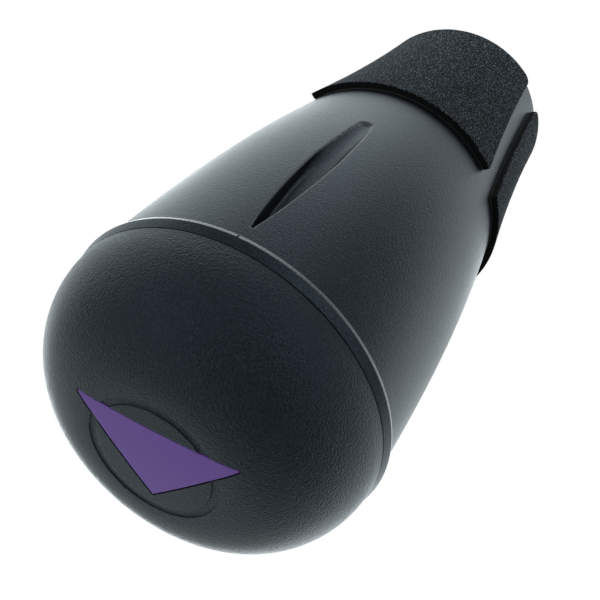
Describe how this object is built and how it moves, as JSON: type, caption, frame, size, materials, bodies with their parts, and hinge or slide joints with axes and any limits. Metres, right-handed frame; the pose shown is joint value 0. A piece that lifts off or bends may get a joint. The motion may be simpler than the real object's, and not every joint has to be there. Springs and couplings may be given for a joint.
{
  "type": "horn practice mute",
  "caption": "Practice mute for a horn: tapered moulded body with scooped air channels, domed cap, foam strips round the neck, and a baffle with a tone tube inside.",
  "frame": {"origin": "centre of the neck's mouth rim, on the flat that the mute stands on", "axes": "+Z along the axis from the mouth to the dome; -Y towards the scooped channel that lies in line with the badge's base edge"},
  "size_m": [0.112, 0.112, 0.2369],
  "materials": {
    "shell_plastic": "fine-textured black moulded plastic",
    "inner_plastic": "plain black moulded plastic",
    "foam": "closed-cell black foam with a fine open grain",
    "adhesive": "pale double-sided tape",
    "badge": "satin purple enamel, bare",
    "felt": "grey pressed felt"
  },
  "bodies": {
    "root": {"body_shell": "shell_plastic", "end_cap": "shell_plastic", "badge_plate": "badge", "neck_pad_1": "foam", "neck_pad_2": "foam", "neck_pad_3": "foam", "pad_tape_1": "adhesive", "pad_tape_2": "adhesive", "pad_tape_3": "adhesive", "baffle": "inner_plastic", "air_tube": "inner_plastic", "damping_disc": "felt"}
  },
  "joints": []
}
